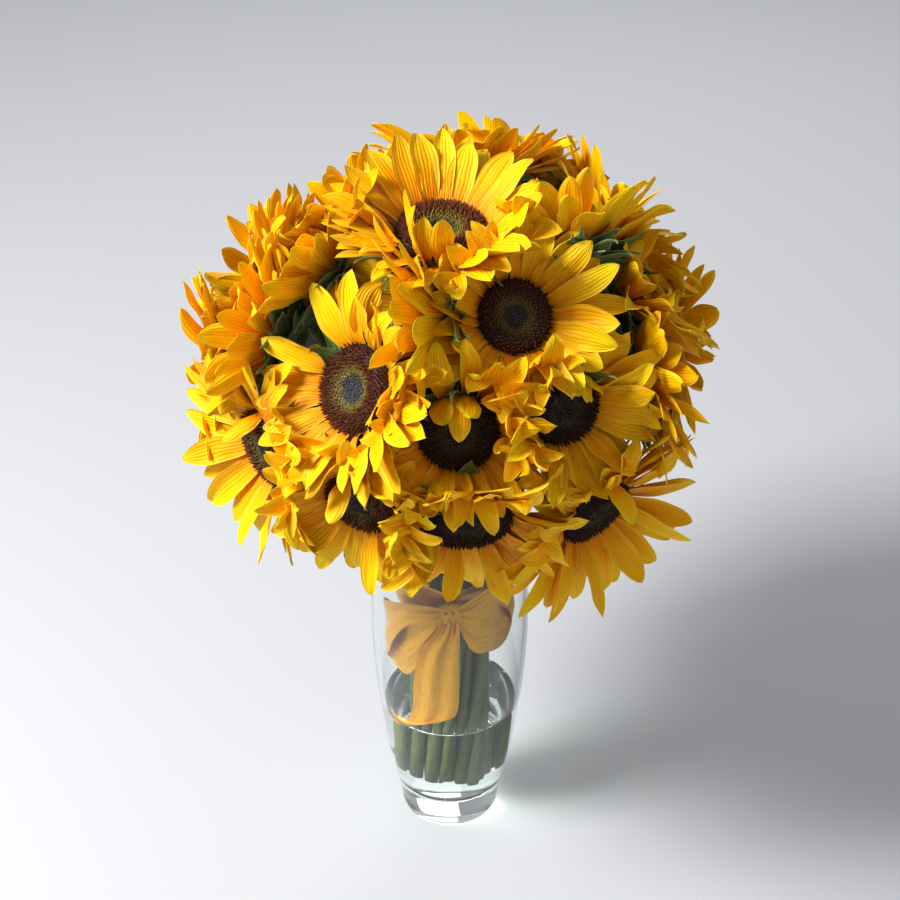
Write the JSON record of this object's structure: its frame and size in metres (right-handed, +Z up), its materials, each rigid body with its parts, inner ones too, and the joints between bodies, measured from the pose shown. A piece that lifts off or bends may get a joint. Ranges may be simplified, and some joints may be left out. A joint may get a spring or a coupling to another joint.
{
  "type": "sunflowers in a vase",
  "caption": "Round bunch of cut sunflowers tied with a satin ribbon, standing in water in a clear glass vase that swells to a high shoulder.",
  "frame": {"origin": "centre of the vase's flat bottom, on the surface it stands on", "axes": "+Z up along the vase, -Y towards the front, where the bow is, and +X to the right seen from the front"},
  "size_m": [0.3407, 0.3455, 0.5381],
  "materials": {
    "glass": "clear polished glass",
    "water": "clear water",
    "stem": "matt green stems with a green cup and a dark seed disc",
    "petal": "thin soft yellow petals with fine lengthwise ribs",
    "satin": "golden satin ribbon"
  },
  "bodies": {
    "root": {"vase": "glass", "water": "water", "stem_01": "stem", "petals_01": "petal", "stem_02": "stem", "petals_02": "petal", "stem_03": "stem", "petals_03": "petal", "stem_04": "stem", "petals_04": "petal", "stem_05": "stem", "petals_05": "petal", "stem_06": "stem", "petals_06": "petal", "stem_07": "stem", "petals_07": "petal", "stem_08": "stem", "petals_08": "petal", "stem_09": "stem", "petals_09": "petal", "stem_10": "stem", "petals_10": "petal", "stem_11": "stem", "petals_11": "petal", "stem_12": "stem", "petals_12": "petal", "stem_13": "stem", "petals_13": "petal", "stem_14": "stem", "petals_14": "petal", "stem_15": "stem", "petals_15": "petal", "stem_16": "stem", "petals_16": "petal", "stem_17": "stem", "petals_17": "petal", "stem_18": "stem", "petals_18": "petal", "stem_19": "stem", "petals_19": "petal", "stem_20": "stem", "petals_20": "petal", "stem_21": "stem", "petals_21": "petal", "stem_22": "stem", "petals_22": "petal", "stem_23": "stem", "petals_23": "petal", "stem_24": "stem", "petals_24": "petal", "stem_25": "stem", "petals_25": "petal", "stem_26": "stem", "petals_26": "petal", "ribbon_wrap": "satin", "ribbon_knot": "satin", "bow_loop_left": "satin", "bow_loop_right": "satin", "ribbon_tail": "satin"}
  },
  "joints": []
}
